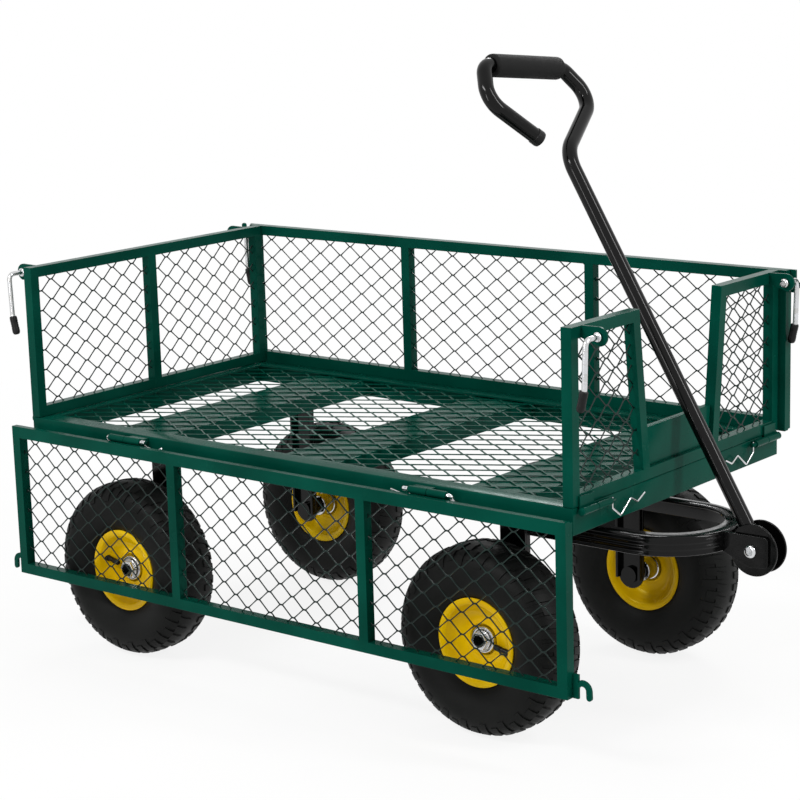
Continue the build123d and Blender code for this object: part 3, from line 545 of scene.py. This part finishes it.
EDGES = (("right", RIGHT_UP, SIDE_HINGE, 16.5), ("left", LEFT, SIDE_HINGE, 16.5),
         ("rear", REAR, END_HINGE, 6.5), ("front", FRONT, END_HINGE, 6.5))
TAB_HALF, TAB_START = 3.0, 3.6
PIN_R, PIN_INNER, PIN_OUTER, PIN_BEND = 3.0, 39.2, 35.2, 14 * math.sqrt(0.5)
HEADED_PIN = ((-PIN_INNER, 2.4), (-38.6, PIN_R), (30.2, PIN_R), (30.2, 4.6), (30.7, 5.0), (32.2, 5.0),
              (32.7, 4.4))
SHORT_CLIP = ((0, -4), (0, 13), (13.5, 17), (30, 8))
LONG_CLIP = ((0, -4), (0, 10), (18, 23), (40.3, 6), (55.4, 14), (72, 6))
CLIP_AT, CLIP_R = 34.7, 1.2

s = Shape()
for name, to, at, reach in EDGES:
    for side in (-1, 1):
        m = side * (at - KNUCKLE_STEP)
        barrel(s, to, m)
        s.box((m - KNUCKLE, -TAB_HALF, -reach), (m + KNUCKLE, TAB_HALF, -TAB_START), to)
s.build("rail_knuckles", "chassis", "green_paint", ("rail_hinge_knuckles",), bevel=0.5)

for name, to, at, reach in EDGES:
    s = Shape()
    for side in (-1, 1):
        if at == SIDE_HINGE:
            knees = [(at - PIN_INNER, 0), (at + PIN_OUTER, 0), (at + PIN_OUTER, -PIN_BEND)]
            s.tube(rounded([to(side * a, bend, bend) for a, bend in knees], 4.0, step=10), PIN_R, sides=20)
        else:
            s.turned(HEADED_PIN, lambda a: to(side * (at + a), 0, 0), sides=24)
    finish = "zinc" if at == SIDE_HINGE else "green_paint"
    s.build(name + "_pins", "chassis", finish, (name + "_hinge_pins",), bevel=0.3, angle=50)

s = Shape()
for name, to, at, reach in EDGES:
    knees, turn = (SHORT_CLIP, math.radians(45)) if at == SIDE_HINGE else (LONG_CLIP, 0.0)
    for side in (-1, 1):
        run = [to(side * (at - CLIP_AT - a), -h * math.cos(turn), -h * math.sin(turn)) for a, h in knees]
        s.tube(rounded(run, 2.4, step=15), CLIP_R, sides=12)
s.build("spring_clips", "chassis", "zinc", ("hinge_clips",))


# Hooks, ears and latches: the lever's rod lies ROD_OUT beyond the hinge axis and ROD_UP above it

ROD_OUT, ROD_UP, ROD_R = 18.5, 213.0, 3.5
HOOK_X, HOOK_END = 500.0, 494.5
HOOK = [(SIDE_HALF, 193.5), (HOOK_END, 193.5), (HOOK_END, 204)]
HOOK += disc(HOOK_X, ROD_UP, 13.0, 250, 360, 12) + [(513.3, 220)]
HOOK += disc(509.4, 220.6, 3.9, 0, 180, 8) + [(505.5, ROD_UP)]
HOOK += disc(HOOK_X, ROD_UP, 5.5, 0, -180, 12) + [(HOOK_END, HEAD), (SIDE_HALF, HEAD)]
HOOK_THICK = 4.0
EAR_AT, EAR_HALF, EAR_BORE = 222.0, 2.0, 3.8
EAR = [(-END_INSET, HEAD), (-END_INSET, HEAD - TUBE)] + disc(ROD_OUT, ROD_UP, 12, -80, 85, 18)
HEAD_AT, LEVER_AT = 213.7, 251.0
LEVER = [(HEAD_AT, ROD_UP, ROD_OUT), (LEVER_AT, ROD_UP, ROD_OUT), (LEVER_AT, 155, 16.5),
         (LEVER_AT, 129, 10.5)]
ROD_HEAD = [(0, 3.2), (0, 4.6), (1.0, 5.8), (5.0, 6.0), (6.0, 5.2), (6.0, 3.2)]
ROD_COLLAR = [(10.6, 3.2), (10.6, 5.6), (11.2, 6.0), (14.0, 6.0), (14.6, 5.4), (14.6, 3.2)]
GRIP_ENDS = ((LEVER_AT, 152.5, 16.0), (LEVER_AT, 126.1, 9.9))
GRIP = ((0, 4.0), (0.02, 4.9), (0.08, 5.4), (0.3, 5.5), (0.34, 5.1), (0.4, 5.5), (0.46, 5.1), (0.52, 5.5),
        (0.58, 5.1), (0.64, 5.5), (0.85, 5.5), (0.95, 4.6), (1.0, 2.6))

for name, to in (("right", RIGHT), ("left", LEFT)):
    s = Shape()
    for side in (-1, 1):
        s.plate([(side * x, y) for x, y in HOOK], -SIDE_INSET - HOOK_THICK, -SIDE_INSET, to)
    s.build(name + "_hooks", name + "_side_panel", "green_paint", (name + "_side_hooks",), bevel=0.6)

for name, to in (("rear", REAR), ("front", FRONT)):
    s = Shape()
    for side in (-1, 1):
        edge = stance(to(side * EAR_AT, 0, 0), outwards(to), Z, lengthways(to))
        s.bored_plate(EAR, (ROD_OUT, ROD_UP), EAR_BORE, -EAR_HALF, EAR_HALF, edge)
    s.build(name + "_ears", name + "_panel", "green_paint", (name + "_latch_ears",), bevel=0.7)

for name, to, side in (("right_rear", REAR, 1), ("left_rear", REAR, -1), ("right_front", FRONT, -1),
                       ("left_front", FRONT, 1)):
    s = Shape()
    s.tube(rounded([to(side * a, h, d) for a, h, d in LEVER], 8.0, step=8), ROD_R, sides=20)
    for profile in (ROD_HEAD, ROD_COLLAR):
        s.lathe(profile, to(side * HEAD_AT, ROD_UP, ROD_OUT), side * lengthways(to), turns=32)
    s.build(name + "_lever", name + "_latch", "zinc", (name + "_latch_lever",), angle=50)
    s = Shape()
    top, low = [Vector(to(side * a, h, d)) for a, h, d in GRIP_ENDS]
    s.turned(GRIP, lambda t: top.lerp(low, t), sides=24)
    s.build(name + "_grip", name + "_latch", "black_plastic", (name + "_latch_grip",), angle=60)


# Wheels: profiles are (along the axle, radius), and tyre and rim are mirrored about the middle plane

CARCASS = [(23, 53.2), (27, 56.5), (27.4, 59.4), (30, 61.5), (34.2, 68), (38.6, 78), (41.0, 89), (40.8, 98),
           (38.9, 106), (35.2, 113.0), (28, 119.4), (18, 122.9), (8, 124.4), (0, 124.9)]
LUG = [(41.5, 98), (40.8, 104.5), (38.2, 111.2), (33.8, 117.2), (28.5, 121.7), (19.5, 124.9), (9.5, 126.5),
       (0, 127.0)]
LUGS = 44
LUG_STEP = 2 * math.pi / LUGS
LUG_SPREAD, LUG_EASE, SHOULDER, CROWN_SHARE = 1.3, (0.4, 0.6), 30.0, 0.3
SHOULDER_WIDE = (LUG_STEP * 0.3, LUG_STEP * 0.34)
CROWN_WIDE = (LUG_STEP * 0.31, LUG_STEP * 0.25)
RIM = [(5.5, 17.6), (5.5, 19.8), (10.6, 20.2), (11.8, 21.2), (11.8, 22.8), (10.6, 24.4), (9.8, 28),
       (12.0, 35.5), (16.0, 41.5), (21.5, 46.3), (26.5, 49.0), (28.6, 51.2), (29.4, 54.5), (29.9, 57.6),
       (29.2, 58.9), (27.6, 58.9), (27.0, 57.5), (26.9, 53.2)]
HUB = [(14, 8.2), (14, 10.0), (12.6, 10.2), (12.6, 13.4), (13.5, 13.8), (14, 14.4), (14, 16.8), (13.2, 17.7),
       (12, 18.0), (-12, 18.0), (-13.5, 17.4), (-14, 16.2), (-33.8, 16.0), (-35, 15.0), (-35, 13.6),
       (-33, 13.4), (-33, 9.4), (-35, 9.2), (-35, 8.2)]
VALVE = ((47, 5.2), (41.5, 5.0), (40.5, 3.6), (32, 3.3), (31.5, 3.9), (23, 3.9), (21.6, 3.2), (21, 2.0))
VALVE_OUT, VALVE_LEAN = 18.5, 0.05
WHEELS = (("right_front", FRONT_X, -FRONT_WHEEL_Y, -12), ("left_front", FRONT_X, FRONT_WHEEL_Y, 75),
          ("right_rear", REAR_X, -REAR_WHEEL_Y, 168), ("left_rear", REAR_X, REAR_WHEEL_Y, 215))


def mirrored(profile):
    return profile + [(-y, r) for y, r in profile[::-1] if y > 0]


def lug(shape, centre, side, first, last, a, wide, sink, lean):
    """One tread block that follows the outer profile between two of its points."""
    path = LUG[first:last + 1]

    def point(y, r, turn):
        return centre + Vector((r * math.cos(turn), side * y, r * math.sin(turn)))

    rings = []
    for i, (y, r) in enumerate(path):
        t = i / (len(path) - 1)
        w = wide[0] * (1 - t) + wide[1] * t
        mid = a + lean * (t - 0.5)
        low = (y - sink * (1 if y > SHOULDER else CROWN_SHARE), r - sink)
        top = (y - LUG_EASE[0], r - LUG_EASE[1]) if i in (0, len(path) - 1) else (y, r)
        rings.append([point(*low, mid - w * LUG_SPREAD), point(*top, mid - w), point(*top, mid + w),
                      point(*low, mid + w * LUG_SPREAD)])
    shape.loft(rings)


for name, x, y, valve in WHEELS:
    body = name + "_wheel"
    centre = Vector((x, y, AXLE_Z))
    out = -1 if y < 0 else 1
    s = Shape()
    s.lathe(mirrored(CARCASS), centre, Y, turns=132)
    for side in (-1, 1):
        for i in range(LUGS):
            a = LUG_STEP * (i + (0.5 if side > 0 else 0.0))
            lug(s, centre, side, 1 + i % 2, 4, a, SHOULDER_WIDE, sink=5.0, lean=0.02 * side)
            lug(s, centre, side, 4, 6, a + LUG_STEP * 0.5, CROWN_WIDE, sink=4.0, lean=0.04 * side)
    s.build(name + "_tread", body, "tyre_rubber", (name + "_tyre",), angle=28)
    s = Shape()
    s.lathe(mirrored(RIM), centre, Y, turns=112)
    s.build(name + "_dish", body, "yellow_paint", (name + "_rim",), angle=40)
    s = Shape()
    s.lathe(HUB, centre, out * Y, turns=64)
    s.build(name + "_bearing_hub", body, "zinc", (name + "_hub",), angle=40)
    s = Shape()
    ray = Vector((math.cos(math.radians(valve)), 0, math.sin(math.radians(valve))))
    s.turned(VALVE, lambda r: centre + ray * r + out * (VALVE_OUT - VALVE_LEAN * r) * Y, sides=20)
    s.build(name + "_valve", body, "black_plastic", angle=50)


# Axle nuts with their washers

WASHER = [(14.3, 8.1), (14.3, 12.9), (16.2, 12.9), (16.2, 8.1)]
HEXAGON = disc(0, 0, 12.6, 0, 300, 5)
NUT_IN, NUT_OUT = 16.2, 22.6
AXLES = (("front", FRONT_X, FRONT_WHEEL_Y, "steering"), ("rear", REAR_X, REAR_WHEEL_Y, "chassis"))

for end, x, y, body in AXLES:
    s = Shape()
    for side in (-1, 1):
        face = (x, side * y, AXLE_Z)
        s.lathe(WASHER, face, side * Y, turns=40)
        s.plate(HEXAGON, NUT_IN, NUT_OUT, stance(face, X, Z, side * Y))
    s.build(end + "_nuts", body, "zinc", (end + "_axle_nuts",), bevel=0.8)


# Pull handle: x across the cart, y up the leaning shaft

LEAN = math.radians(30.5)
PIVOT = Vector((587, 0, 242))
SHAFT = stance(PIVOT, Y, (-math.sin(LEAN), 0, math.cos(LEAN)), (math.cos(LEAN), 0, math.sin(LEAN)))
BAR = (Vector((78, 678)), Vector((-82, 696)))
TAIL = (Vector((-108, 648)), Vector((-42, 586)))
HANDLE_R = 10.0
HANDLE_BENDS = [45.0, 30.0, 20.0, 22.0, 30.0]
FOAM_START, FOAM_SHORT = 9.4, 24.2
FOAM_END = [(0, 11.6), (0.3, 13.6), (1.4, 14.6), (3.6, 15.0)]
CAP = ((-8.4, 10.4), (-8.0, 10.9), (0, 11.0), (2.2, 10.4), (3.3, 8.6), (3.6, 5.6))
CHEEK = [(10, 6.1), (10, 34), (13, 34), (13, 6.1)]
BUSH = [(-10.2, 6.1), (10.2, 6.1), (10.2, 9), (-10.2, 9)]

s = Shape()
knees = [(0, 10), (0, 560), (110, 629), *BAR, *TAIL]
s.tube(rounded([SHAFT(x, y, 0) for x, y in knees], HANDLE_BENDS, step=4), HANDLE_R, sides=32)
s.build("handle_rod", "handle", "black_paint", ("handle_tube",), angle=50)

s = Shape()
along = (BAR[1] - BAR[0]).normalized()
length = (BAR[1] - BAR[0]).length - FOAM_SHORT
steps = FOAM_END + [(length - t, r) for t, r in FOAM_END[::-1]]
s.turned(steps, lambda t: SHAFT(*(BAR[0] + along * (FOAM_START + t)), 0), sides=48)
grip = s.build("hand_grip", "handle", "grip_foam", ("handle_grip",), angle=60)

s = Shape()
along = (TAIL[1] - TAIL[0]).normalized()
s.turned(CAP, lambda t: SHAFT(*(TAIL[1] + along * t), 0), sides=32)
s.build("loop_cap", "handle", "black_plastic", ("handle_end_cap",), angle=50)

s = Shape()
for side in (-1, 1):
    s.lathe(CHEEK, PIVOT, side * Y, turns=60)
s.lathe(BUSH, PIVOT, Y, turns=40)
s.build("handle_cheeks", "handle", "black_paint", ("handle_bracket",), bevel=1.1, segments=3)


# Steering yoke: pressed horseshoe with a beaded skirt, whose section is (outwards, up) from its top edge

NOSE, RADIUS, BACK, BRIDGE, TOP = 455.0, 94.0, 268.0, 346.0, 262.0
BEND = 400.0
SECTION = [(0, -3.2), (-0.9, -0.9), (-3.2, 0), (-21.2, 0), (-22, -0.8), (-22, -3.2), (-21.2, -4), (-6, -4),
           (-4.5, -5.0), (-4, -6.6), (-4, -24.4), (-3.4, -25), (0.6, -25), (1.4, -24.2), (1.4, -22.4),
           (0.2, -21.0), (0.2, -18.0), (1.5, -16.8), (1.5, -14.2), (0.2, -13.0), (0.2, -10.2), (1.5, -9.0),
           (1.5, -6.8), (0.2, -5.4)]
BRIDGE_HALF, FLANGE_HALF, FLANGE_TOP, YOKE_SHEET, YOKE_DEEP = 73.0, 91.0, -3, 4.0, 25.0
CLEVIS = [(541, 237.5), (541, 261.5)] + disc(604, 256, 6, 90, 0, 6)
CLEVIS += disc(604, 228, 6, 0, -90, 6) + [(584, 220)]
CLEVIS_AT, CLEVIS_HALF = 15.3, 2.0
HALF_RIVET = [(0, 5.9), (17.28, 5.9), (17.3, 8.2), (20.6, 8.2), (21.6, 7.9), (22.4, 7.0), (22.6, 4.0)]

plan = [(BACK, -RADIUS), (BRIDGE, -RADIUS), (BEND, -RADIUS)]
plan += disc(NOSE, 0, RADIUS, -90, 90, 56) + [(BEND, RADIUS), (BRIDGE, RADIUS), (BACK, RADIUS)]
rings = []
for x, y in plan:
    turn = Vector((max(x - NOSE, 0.0), y)).normalized()
    rings.append([(x + turn[0] * a, y + turn[1] * a, TOP + z) for a, z in SECTION])
s = Shape()
s.loft(rings)
level = stance((0, 0, TOP), X, Y, Z)
bridge = (BRIDGE, BRIDGE_HALF, -YOKE_SHEET, -SKIN)
flange = (BACK + YOKE_SHEET, FLANGE_HALF, -YOKE_DEEP, FLANGE_TOP)
for front, half, low, high in (bridge, flange):
    s.plate([(BACK, -half), (front, -half), (front, half), (BACK, half)], low, high, level)
for side in (-1, 1):
    s.plate(CLEVIS, -CLEVIS_HALF, CLEVIS_HALF, stance((0, side * CLEVIS_AT, 0), X, Z, Y))
s.build("yoke", "steering", "black_paint", ("steering_yoke",), bevel=0.7, angle=50)

s = Shape()
s.turned([(-t, r) for t, r in HALF_RIVET[:0:-1]] + HALF_RIVET, lambda t: PIVOT + t * Y, sides=40)
s.build("pivot_rivet", "steering", "zinc", ("handle_pivot_bolt",), angle=40)


# Axle legs and the front axle channel with its king-pin hole

LEG_HALF, LEG_SHEET, LEG_DEEP, FLANGE_FOOT = 20.0, 4.0, 12.0, 122.0
REAR_LEG_Y, REAR_LEG_TOP = 157.0, 324.0
FRONT_LEG_Y, FRONT_LEG_TOP = 140.0, 293.0
AXLE_HALF, AXLE_FOOT, AXLE_WEB, AXLE_TOP = 28.0, 262.0, 292.0, 296.0
KING_BORE = 10.3


def leg(shape, x, y, top):
    """Pressed channel leg with a round foot, open towards the middle."""
    to = stance((x, y, 0), X, Z, Y if y > 0 else -Y)
    outline = [(-LEG_HALF, top), (LEG_HALF, top)] + disc(0, AXLE_Z, LEG_HALF, 0, -180, 20)
    shape.plate(outline, -LEG_SHEET, 0, to)
    for side in (-1, 1):
        a = side * (LEG_HALF - LEG_SHEET / 2)
        shape.box((a - LEG_SHEET / 2, FLANGE_FOOT, -LEG_DEEP), (a + LEG_SHEET / 2, top, LAP - LEG_SHEET), to)


for name, y in (("left", REAR_LEG_Y), ("right", -REAR_LEG_Y)):
    s = Shape()
    leg(s, REAR_X, y, REAR_LEG_TOP)
    s.build(name + "_rear_leg_channel", "chassis", "black_paint", ("rear_leg_" + name,), bevel=0.9)

s = Shape()
for y in (FRONT_LEG_Y, -FRONT_LEG_Y):
    leg(s, FRONT_X, y, FRONT_LEG_TOP)
over = stance((FRONT_X, 0, 0), X, Y, Z)
web = rect(0, 0, 2 * AXLE_HALF, 2 * FRONT_LEG_Y)
s.bored_plate(web, (0, 0), KING_BORE, AXLE_WEB, AXLE_TOP, over)
for side in (-1, 1):
    a = side * (AXLE_HALF - LEG_SHEET / 2)
    lo, hi = (a - LEG_SHEET / 2, -FRONT_LEG_Y, AXLE_FOOT), (a + LEG_SHEET / 2, FRONT_LEG_Y, AXLE_WEB + SKIN)
    s.box(lo, hi, over)
s.build("front_axle_channel", "steering", "black_paint", ("front_axle_frame",), bevel=0.9)


# Studio: pale floor that keeps a soft shadow near the cart and turns plain white further out

FLOOR_SIZE = 120.0
FADE = {"From Min": 0.7, "From Max": 2.2, "To Min": 0.86, "To Max": 1.0}
WHITE, PALE = (1, 1, 1, 1), (0.93, 0.93, 0.92, 1)


def seen_directly(tree):
    """One where a camera, glossy or transmission ray looks, else nought."""
    ray = add(tree, "ShaderNodeLightPath")
    first = add(tree, "ShaderNodeMath", operation="MAXIMUM")
    both = add(tree, "ShaderNodeMath", operation="MAXIMUM")
    tree.links.new(ray.outputs["Is Camera Ray"], first.inputs[0])
    tree.links.new(ray.outputs["Is Glossy Ray"], first.inputs[1])
    tree.links.new(first.outputs[0], both.inputs[0])
    tree.links.new(ray.outputs["Is Transmission Ray"], both.inputs[1])
    return both.outputs[0]


def blend(tree, share, lit, seen, output):
    """Mixes what lights the part with what is seen of the background."""
    mix = add(tree, "ShaderNodeMixShader")
    tree.links.new(share, mix.inputs["Fac"])
    tree.links.new(lit.outputs[0], mix.inputs[1])
    tree.links.new(seen.outputs[0], mix.inputs[2])
    tree.links.new(mix.outputs[0], output.inputs["Surface"])


floor_mesh = bpy.data.meshes.new("floor")
floor_edge = rect(0, 0, FLOOR_SIZE, FLOOR_SIZE)
floor_mesh.from_pydata([(x, y, 0) for x, y in floor_edge], [], [(0, 1, 2, 3)])
floor = bpy.data.objects.new("floor", floor_mesh)
scene.collection.objects.link(floor)
floor_material = bpy.data.materials.new("floor")
floor_material.use_nodes = True
t = floor_material.node_tree
t.nodes.clear()
where = add(t, "ShaderNodeTexCoord")
distance = add(t, "ShaderNodeVectorMath", operation="LENGTH")
fade = add(t, "ShaderNodeMapRange", **FADE)
share = add(t, "ShaderNodeMath", operation="MULTIPLY")
t.links.new(where.outputs["Object"], distance.inputs[0])
t.links.new(distance.outputs["Value"], fade.inputs["Value"])
t.links.new(fade.outputs["Result"], share.inputs[0])
t.links.new(seen_directly(t), share.inputs[1])
blend(t, share.outputs[0], add(t, "ShaderNodeBsdfDiffuse", Color=PALE),
      add(t, "ShaderNodeEmission", Color=WHITE, Strength=1.0), add(t, "ShaderNodeOutputMaterial"))
floor_mesh.materials.append(floor_material)

world = bpy.data.worlds.new("studio")
scene.world = world
world.use_nodes = True
t = world.node_tree
t.nodes.clear()
blend(t, seen_directly(t), add(t, "ShaderNodeBackground", Color=WHITE, Strength=0.5),
      add(t, "ShaderNodeBackground", Color=WHITE, Strength=1.0), add(t, "ShaderNodeOutputWorld"))


def lamp(name, at, aim, size, power):
    data = bpy.data.lights.new(name, "AREA")
    data.shape = "RECTANGLE"
    data.size, data.size_y = size
    data.energy = power
    obj = bpy.data.objects.new(name, data)
    scene.collection.objects.link(obj)
    obj.location = at
    obj.rotation_euler = (Vector(aim) - Vector(at)).to_track_quat("-Z", "Y").to_euler()


lamp("key", at=(-0.6, -2.6, 2.6), aim=(0, 0, 0.35), size=(1.5, 0.5), power=52)
lamp("side", at=(2.5, 0.4, 2.2), aim=(0.1, 0, 0.5), size=(0.4, 1.8), power=38)
lamp("fill", at=(-0.1, -3.0, 0.8), aim=(0, 0, 0.5), size=(0.25, 1.2), power=12)
lamp("back", at=(-0.8, 2.6, 2.4), aim=(0, 0, 0.4), size=(1.8, 0.4), power=36)


# Camera at the photograph's viewing angle: distance in millimetres, focal length in pixels of the frame

AZIMUTH, ELEVATION, ROLL = math.radians(39.13), math.radians(12.26), math.radians(-1.66)
DISTANCE, FOCAL, FRAME_WIDTH, SENSOR = 3131.61, 2236.31, 800.0, 36.0
TARGET = Vector((14.88, 0.0, 366.81))

flat = math.cos(ELEVATION)
back = Vector((math.sin(AZIMUTH) * flat, -math.cos(AZIMUTH) * flat, math.sin(ELEVATION)))
right = Vector((math.cos(AZIMUTH), math.sin(AZIMUTH), 0.0))
up = back.cross(right)
across = right * math.cos(ROLL) + up * math.sin(ROLL)
upright = up * math.cos(ROLL) - right * math.sin(ROLL)
basis = Matrix((across, upright, back)).transposed().to_4x4()
basis.translation = place(TARGET + back * DISTANCE)
cam_data = bpy.data.cameras.new("camera")
cam_data.sensor_width = SENSOR
cam_data.lens = SENSOR * FOCAL / FRAME_WIDTH
cam_data.clip_end = 100.0
cam = bpy.data.objects.new("camera", cam_data)
scene.collection.objects.link(cam)
cam.matrix_world = basis
scene.camera = cam
